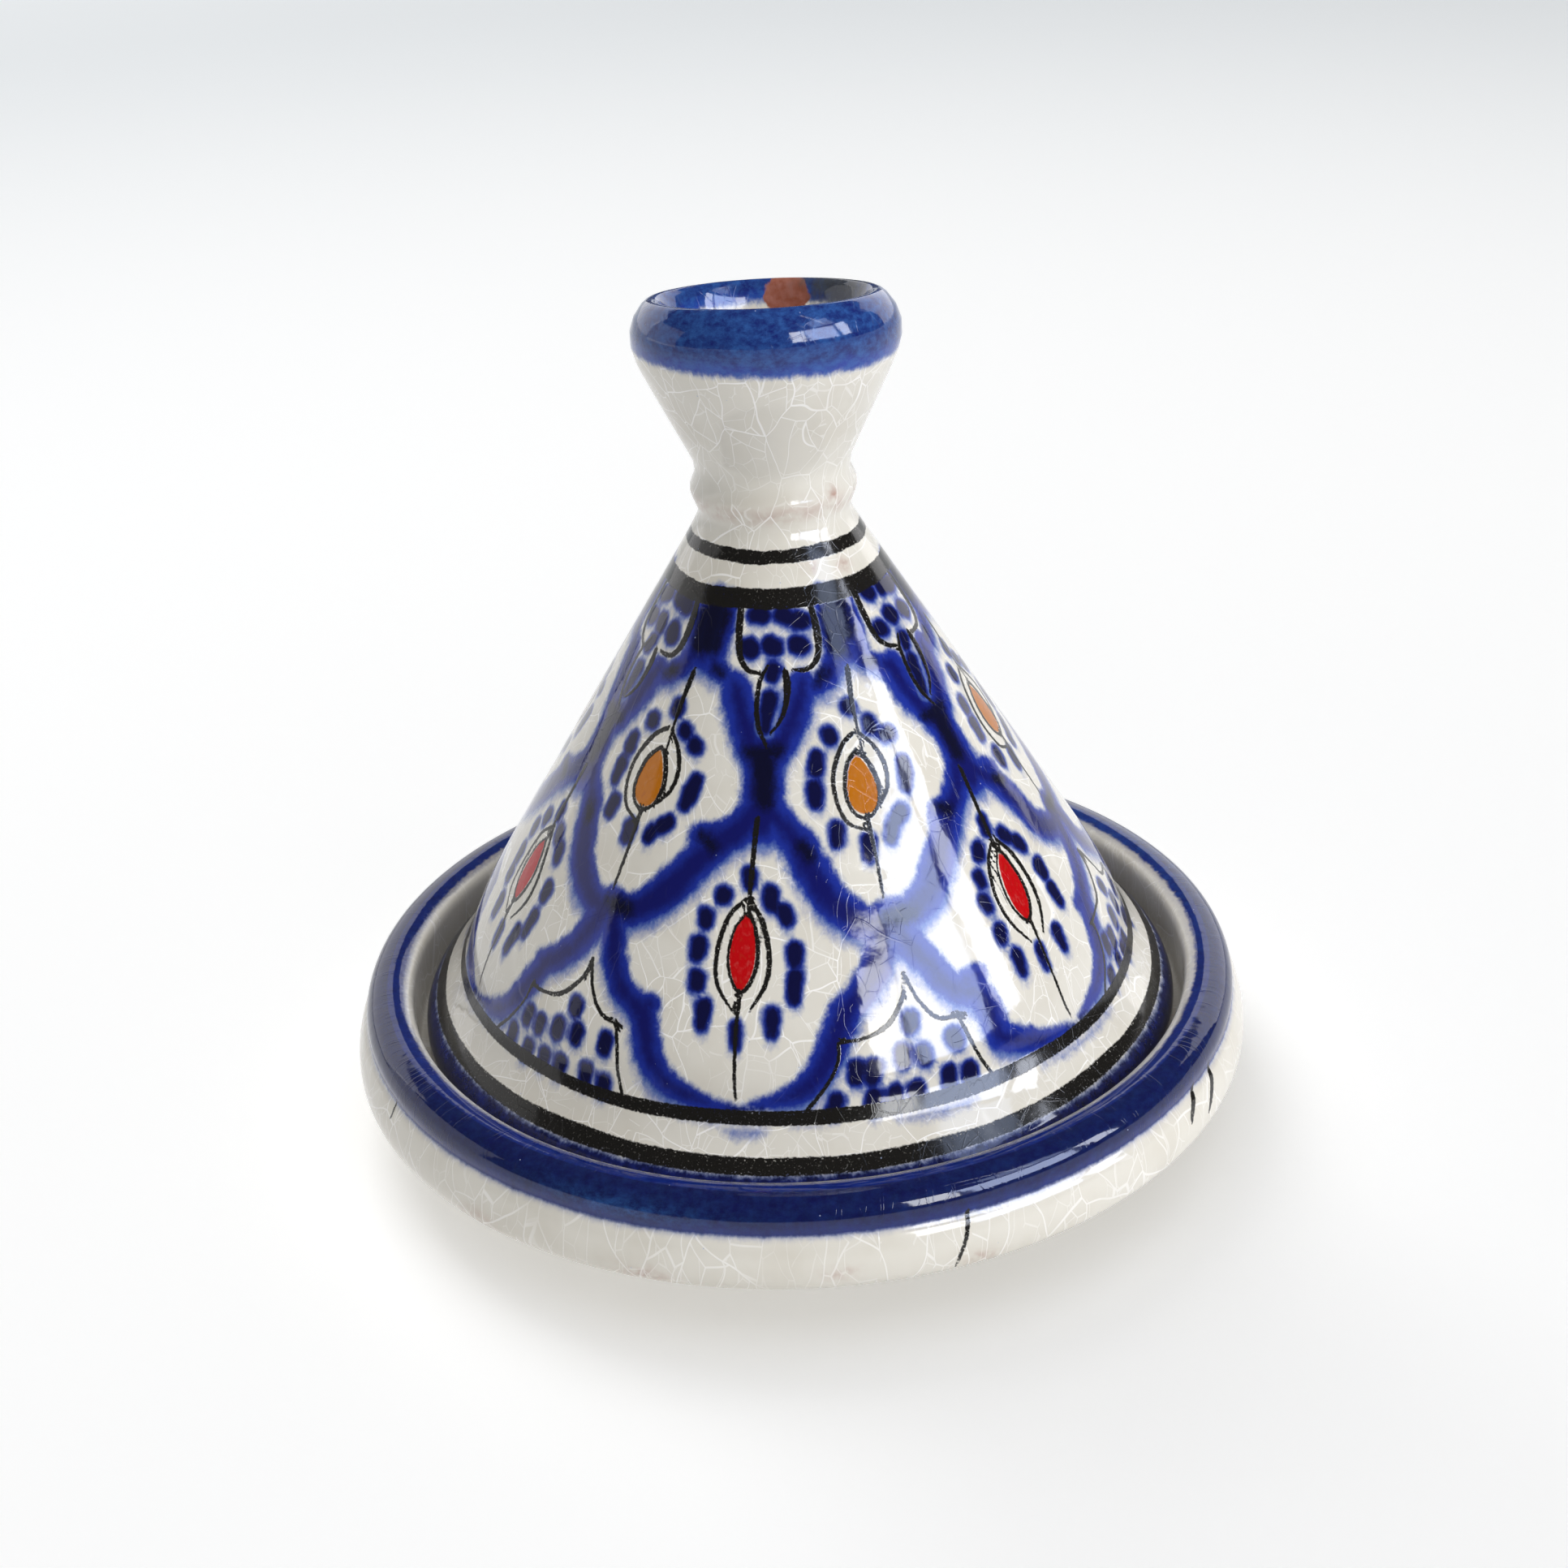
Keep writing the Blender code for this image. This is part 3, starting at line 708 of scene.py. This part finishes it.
def strayed(stroke, pick, look, at, calm, loose):
    # one stroke of the pattern turned to its repeat, a little astray as a hand leaves it
    slip = pick.gauss(0, look["angleWander"]) * calm * loose * 0.6
    rise = pick.gauss(0, look["heightWander"]) * calm * loose * 0.6
    press = 1 + pick.gauss(0, 0.05) * calm
    result = []
    for angle, high, wide in stroke:
        nudge = pick.gauss(0, 0.14) * calm * loose
        result.append((angle + at + slip + nudge * 2, high + rise + nudge, wide * press))
    return result


def paintLid(canvas, look):
    spots, turn, run = canvas.spots, canvas.turn, canvas.run
    crest = canvas.crest
    height = spots[:, 2]
    outside = (run >= crest) & (height > 12.0)

    pick = random.Random(look["paintingSeed"])
    for repeat in range(look["repeats"]):
        at = repeat * 360 / look["repeats"]
        calm = 0.25 if repeat == 0 else 1.0
        hand = (pick, look, at, calm)
        for stroke in look["lattice"]:
            stroke = strayed(stroke, *hand, 1.0)
            canvas.stroke("cobaltEdge", stroke, grow=look["latticeGrow"])
            canvas.stroke("bleedEdge", stroke, drop=1.3, grow=look["latticeGrow"] + 0.15)
        for stroke in look["pools"]:
            canvas.stroke("poolEdge", strayed(stroke, *hand, 1.0))
        for stroke in look["dabs"]:
            stroke = strayed(stroke, *hand, 0.9)
            canvas.stroke("dabEdge", stroke, grow=look["dabGrow"])
            canvas.stroke("bleedEdge", stroke, drop=1.0, grow=look["dabGrow"] - 0.2)
        for stroke in look["lines"]:
            canvas.stroke("lineEdge", strayed(stroke, *hand, 0.6), grow=0.02, sided=True)
        for bud in ("orangeBud", "redBud"):
            canvas.stroke("budEdge", strayed(look[bud], *hand, 0.3))
    canvas.paint["budRed"][height < look["redBelow"]] = 1.0

    # bands, each with the wheel's small waver
    for index, (level, half) in enumerate(look["blackBands"]):
        band = np.abs(height - level - wave(turn, 50 + index, 0.10)) - half - wave(turn, 60 + index, 0.06)
        canvas.field("bandEdge", np.where(outside, band, 9))
    flange = height - look["flangeBlueBelow"] - wave(turn, 71, 0.12)
    offEdge = np.abs(spots[:, 0] ** 2 + spots[:, 1] ** 2 - look["flangeRadius"] ** 2)
    edgeRun = run[(offEdge < 9) & (height < 12)].min()
    flange = np.where(run < edgeRun + 2.2, flange, run - edgeRun - 2.6)
    canvas.field("cobaltEdge", np.where(run > crest, np.where(height < 30, flange, 9), 9))
    canvas.field("poolEdge", np.where((height < 14.6) & (run > crest), -0.1, 9))
    for smear in look["smears"]:
        canvas.stroke("bleedEdge", smear)
    # a pale line painted along the flange's outer edge
    canvas.field("paleEdgeLine", np.abs(run - edgeRun + 0.15) - 0.16 + wave(turn, 77, 0.05))
    # the cup's blue lip, lower on one side, and a short way down inside
    lip = look["cupBlueAbove"] - 0.55 * np.sin(np.radians(turn - 5)) + wave(turn, 81, 0.14)
    outerLip = lip - height
    innerLip = look["cupBlueInside"] + 1.2 * np.cos(np.radians(turn)) + wave(turn, 82, 0.3) - height
    canvas.field("cobaltEdge", np.where(height > 80, np.where(run >= crest, outerLip, innerLip), 9))
    canvas.paint["mottle"][height > 80] = 0.85
    # a warm flush on the throwing ring, and a few more round the neck
    level = look["ringFlushAt"] + wave(turn, 83, 0.25)
    wall = (run > crest) * (np.hypot(spots[:, 0], spots[:, 1]) > 7)
    blush = 0.8 * np.exp(-((height - level) / 0.9) ** 2) * wall
    for angle, level, half in look["blushes"]:
        away = np.hypot((turn - angle) * 0.16, (height - level) * 1.5)
        blush = np.maximum(blush, 1.6 * np.exp(-(away / half) ** 2) * outside)
    canvas.paint["blush"] = blush
    # one chip inside the lip shows clay, with kiln smoke beside it
    behind = np.where(turn < 0, turn + 360, turn)
    angle, level, half = look["chip"]
    chip = np.hypot((behind - angle) * 0.118, (height - level) * 0.95) - half
    canvas.field("clayEdge", np.where((run < crest + 0.4) & (height > 80), chip, 9))
    angle, level, half = look["smoke"]
    smoke = np.hypot((behind - angle) * 0.065, (height - level) / 1.1) - half
    canvas.field("smokeEdge", np.where((run < crest + 0.4) & (height > 86), smoke, 9))
    # the seat is wiped clean for firing
    canvas.field("clayEdge", np.where(height < 12, height - 9.85, 9))
    canvas.finish()


dishDesign = {
    # profile as above, from the middle of the well over the rim, down the side and under the foot
    "corners": [
        (0, 4.8, 0), (25, 4.8, 7), (39.6, 9.3, 1.4), (44.6, 9.3, 1), (44.6, 15.9, 1.2),
        (46.7, 16.85, 1.4), (49.1, 16.45, 1.6), (50.1, 14.7, 1.6), (50, 13.2, 0.3), (50.6, 12.6, 0.4),
        (51.5, 10.3, 1.6), (51.5, 7.4, 1.9), (34.2, 1.2, 1), (33, 0, 0), (29, 0, 0), (27.8, 1.2, 0.6),
        (0, 1.2, 0),
    ],
    "stepsRound": 480,
    "paintedStep": 0.45,
    "plainStep": 1.6,
    "wobble": 0.20,
    "fingerRingDepth": 0.04,
    "fingerRingSpacing": 2.6,
    "lipLean": 0.0,
    "lipLeanFrom": 30.0,
    "throwingSeed": 12,
    "crazeStretch": 0.42,
    "crazeWrap": 43,         # mm, inside the side, so the net goes round it
    "crazeShows": 0.62,
    "fringe": 0.3,
    "raggedness": 0.4,
    "blueDownTo": 13.25,     # mm above the table on the outside
    "blueInTo": 16.2,        # on the gallery wall
    # brush slips on the side: (degrees, height, half width)
    "slips": [
        [(18, 13.4, 0.22), (17.4, 11.4, 0.2), (16.3, 9.2, 0.17), (15.9, 8.0, 0.1)],
        [(55.4, 13.6, 0.2), (54.2, 12.4, 0.36), (52.9, 11.3, 0.3), (52.6, 10.8, 0.12)],
        [(60.6, 13.6, 0.2), (59.6, 12.2, 0.38), (57.8, 10.6, 0.3), (56.9, 9.8, 0.12)],
        [(-61.6, 13.4, 0.12), (-61.4, 12.2, 0.12), (-61.8, 11.4, 0.06)],
        [(143, 13.4, 0.2), (141.5, 11.6, 0.26), (140.8, 9.6, 0.12)],
        [(-118, 13.5, 0.2), (-119, 12.1, 0.3), (-120.3, 10.9, 0.12)],
    ],
    # rust blushes on the side: (degrees, height, half width)
    "blushes": [(-42, 8.6, 1.2), (-19, 8.4, 1.5), (3, 9.6, 0.9), (19, 8.6, 0.9), (75, 9, 1.2),
                (-85, 9, 1.4), (130, 8.8, 1.6), (-150, 9.2, 1.4)],
}


def paintDish(canvas, look):
    spots, turn, run = canvas.spots, canvas.turn, canvas.run
    height = spots[:, 2]
    radius = np.hypot(spots[:, 0], spots[:, 1])
    crest = canvas.crest
    outer = look["blueDownTo"] + wave(turn, 91, 0.10) - height
    inner = look["blueInTo"] + wave(turn, 92, 0.12) - height
    blue = np.where(run > crest, np.where(radius > 40, outer, 9), np.where(radius > 43.5, inner, 9))
    canvas.field("cobaltEdge", blue)
    canvas.field("bleedEdge", np.where(run > crest, blue - 0.25, 9))
    canvas.field("poolEdge", np.full(len(run), 0.1))
    # a paler mottled patch at the front left and faint mottling elsewhere
    patch = np.exp(-((turn + 22) / 10) ** 2 - ((height - 14.9) / 0.9) ** 2)
    patch += 0.35 * np.exp(-((turn - 120) / 30) ** 2) + 0.3 * np.exp(-((turn + 150) / 25) ** 2)
    canvas.paint["mottle"] = np.clip(0.12 + 0.65 * patch, 0, 1)
    # a pale line painted along the rim's inner edge
    paleLine = np.where(run < crest, np.abs(height - 16.25), 9)
    canvas.field("paleEdgeLine", paleLine - 0.14 + wave(turn, 93, 0.05))
    for slip in look["slips"]:
        canvas.stroke("lineEdge", slip, grow=0.03, sided=True)
    blush = np.zeros(len(run))
    for angle, level, half in look["blushes"]:
        away = np.hypot((turn - angle) * 0.5, (height - level) * 1.3)
        blush = np.maximum(blush, np.exp(-(away / half) ** 2) * (radius > 48))
    canvas.paint["blush"] = blush
    # foot ring left bare
    canvas.field("clayEdge", np.where(radius < 40, np.where(run > crest, height - 0.7, 9), 9))
    canvas.finish()


def lidSpacing(radius, height, gone):
    # close on the painted cone and flange, wide inside and on the plain neck
    return lidDesign["paintedStep"] if 12 < height < 70 and 18 < gone < 145 else lidDesign["plainStep"]


def dishSpacing(radius, height, gone):
    return dishDesign["paintedStep"] if radius > 44 and height > 6 else dishDesign["plainStep"]


wheelTree = thrownOnWheelTree()

lidGlaze = tinGlazedEarthenware("painted tin glazed earthenware, lid", glazeLooks, lidDesign)
lidProfile, lidRun = spacedProfile(lidDesign["corners"], lidSpacing)
lid = throwPiece("lid_tin_glazed", lidProfile, wheelTree, lidDesign, lidGlaze)
paintLid(Canvas(lid, lidProfile, lidRun), lidDesign)
print("lid painted")

dishGlaze = tinGlazedEarthenware("painted tin glazed earthenware, dish", glazeLooks, dishDesign)
dishProfile, dishRun = spacedProfile(dishDesign["corners"], dishSpacing)
dish = throwPiece("dish_tin_glazed", dishProfile, wheelTree, dishDesign, dishGlaze)
paintDish(Canvas(dish, dishProfile, dishRun), dishDesign)
print("dish painted")

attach(lid, "lid")
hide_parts("conical_lid")
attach(dish, "dish")
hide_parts("base_dish")


studio = {
    "floorNear": "FFFFFF",
    "floorFar": "DCDFE1",
    "floorSize": 8.0,
    "sheetGlow": 0.24,       # the sheet is lit from below too, which keeps the shadow light
    "sheetGlowFar": 0.86,    # past the reach of the lights
    "airBrightness": 0.12,   # what the glaze mirrors where there is no card
    "backdropBrightness": 0.94,
    "lens": 51.5,
    "cameraPlace": (0, -0.2252, 0.1514),
    "cameraTurn": (63.1135, 2.6361, -1.2037),
    # name, bearing and elevation in degrees, distance, width and height in metres, brightness, tint,
    # and what it does: "shine" is only mirrored in the glaze, "soft" lights everything, "pot" and "sheet"
    # light the pot or the sheet alone
    "lights": [
        ("window narrow pane", 29, 19.5, 1.0, 0.20, 0.37, 12.5, "FAFCFF", "shine"),
        ("window wide pane", 51, 19.5, 1.0, 0.48, 0.37, 10.5, "D0DEFF", "shine"),
        ("window side pane", 73, 19.5, 1.0, 0.14, 0.37, 11.5, "EAF0FF", "shine"),
        ("window upper pane", 58, 40, 1.0, 0.34, 0.26, 3.6, "C8DAFF", "shine"),
        ("window upper strip", 60, 50, 1.0, 0.03, 0.50, 5.0, "F0F5FF", "shine"),
        ("left card", -100, 12, 1.4, 1.0, 0.7, 0.8, "F4F3F2", "shine"),
        ("back wall left", -145, 18, 1.6, 1.5, 1.0, 1.4, "F4F3F4", "shine"),
        ("back wall right", 145, 18, 1.6, 1.5, 1.0, 1.8, "F4F3F4", "shine"),
        ("window light", 62, 28, 1.2, 0.9, 0.8, 3.9, "FAFBFF", "pot"),
        ("front light", 26, 46, 1.6, 1.2, 1.0, 1.0, "FFFDF8", "pot"),
        ("overhead", 0, 89, 1.9, 2.6, 2.6, 0.95, "FFFFFF", "soft"),
        ("back fill", -168, 46, 1.8, 1.4, 1.2, 1.2, "FFFFFF", "pot"),
        ("back light", -152, 48, 2.0, 1.1, 1.1, 3.6, "FFFFFF", "sheet"),
        ("front fill", 10, 42, 2.2, 2.4, 1.6, 0.3, "FFFEFA", "soft"),
    ],
}


def paleFloor(look):
    # matt white studio sheet, going faintly grey far away
    mesh = bpy.data.meshes.new("studio_floor")
    half = look["floorSize"] / 2
    corners = [(-half, -half, 0), (half, -half, 0), (half, half, 0), (-half, half, 0)]
    mesh.from_pydata(corners, [], [(0, 1, 2, 3)])
    floor = bpy.data.objects.new("studio_floor", mesh)
    bpy.context.scene.collection.objects.link(floor)
    material = bpy.data.materials.new("matt white studio sheet")
    material.use_nodes = True
    tree = material.node_tree
    shader = tree.nodes["Principled BSDF"]
    place = addNode(tree, "TexCoord").outputs["Object"]
    away = addNode(tree, "VectorMath", [place], operation="LENGTH").outputs["Value"]
    fade = addNode(tree, "MapRange", [away, 0.15, 0.95], interpolation_type="SMOOTHSTEP")
    glow = addNode(tree, "MapRange", [away, 0.9, 2.6, look["sheetGlow"], look["sheetGlowFar"]],
                   interpolation_type="SMOOTHSTEP")
    tone = addNode(tree, "Mix", {0: fade, 6: hexColour(look["floorNear"]), 7: hexColour(look["floorFar"])},
                   data_type="RGBA")
    tree.links.new(tone.outputs[2], shader.inputs["Base Color"])
    tree.links.new(tone.outputs[2], shader.inputs["Emission Color"])
    tree.links.new(glow.outputs[0], shader.inputs["Emission Strength"])
    shader.inputs["Roughness"].default_value = 0.9
    shader.inputs["Specular IOR Level"].default_value = 0.1
    mesh.materials.append(material)
    return floor


def hangLight(name, bearing, elevation, distance, width, high, brightness, tint, task):
    lamp = bpy.data.lights.new(name, "AREA")
    lamp.shape = "RECTANGLE"
    lamp.size = width
    lamp.size_y = high
    lamp.energy = brightness * math.pi * width * high
    holder = bpy.data.objects.new(name, lamp)
    turn = math.radians(bearing)
    rise = math.radians(elevation)
    aim = Vector((0, 0, 0.04))  # the middle of the pot
    away = Vector((math.sin(turn) * math.cos(rise), -math.cos(turn) * math.cos(rise), math.sin(rise)))
    holder.location = aim + away * distance
    holder.rotation_euler = (aim - holder.location).to_track_quat("-Z", "Y").to_euler()
    lamp.color = hexColour(tint)[:3]
    holder.visible_camera = False
    holder.visible_glossy = task == "shine"
    holder.visible_diffuse = task != "shine"
    if task in litAlone:
        holder.light_linking.receiver_collection = litAlone[task]
    bpy.context.scene.collection.objects.link(holder)


# what the lights with a task of their own fall on
litAlone = {"pot": bpy.data.collections.new("pot"), "sheet": bpy.data.collections.new("sheet")}
litAlone["pot"].objects.link(lid)
litAlone["pot"].objects.link(dish)
litAlone["sheet"].objects.link(paleFloor(studio))
for light in studio["lights"]:
    hangLight(*light)
air = bpy.data.worlds.new("soft room")
air.use_nodes = True
# a pale backdrop to look at, a dimmer room to light and mirror
seen = addNode(air.node_tree, "LightPath").outputs["Is Camera Ray"]
bright = addNode(air.node_tree, "Mix",
                 {0: seen, 2: studio["airBrightness"], 3: studio["backdropBrightness"]})
air.node_tree.nodes["Background"].inputs["Color"].default_value = hexColour("F4F6F8")
air.node_tree.links.new(bright.outputs[0], air.node_tree.nodes["Background"].inputs["Strength"])
bpy.context.scene.world = air
bpy.context.scene.view_settings.view_transform = "Standard"
print("studio lit")

camera = bpy.data.objects.new("camera", bpy.data.cameras.new("camera"))
camera.data.lens = studio["lens"]
camera.data.sensor_width = 36
camera.data.clip_start = 0.01
camera.location = studio["cameraPlace"]
camera.rotation_euler = [math.radians(angle) for angle in studio["cameraTurn"]]
bpy.context.scene.collection.objects.link(camera)
bpy.context.scene.camera = camera
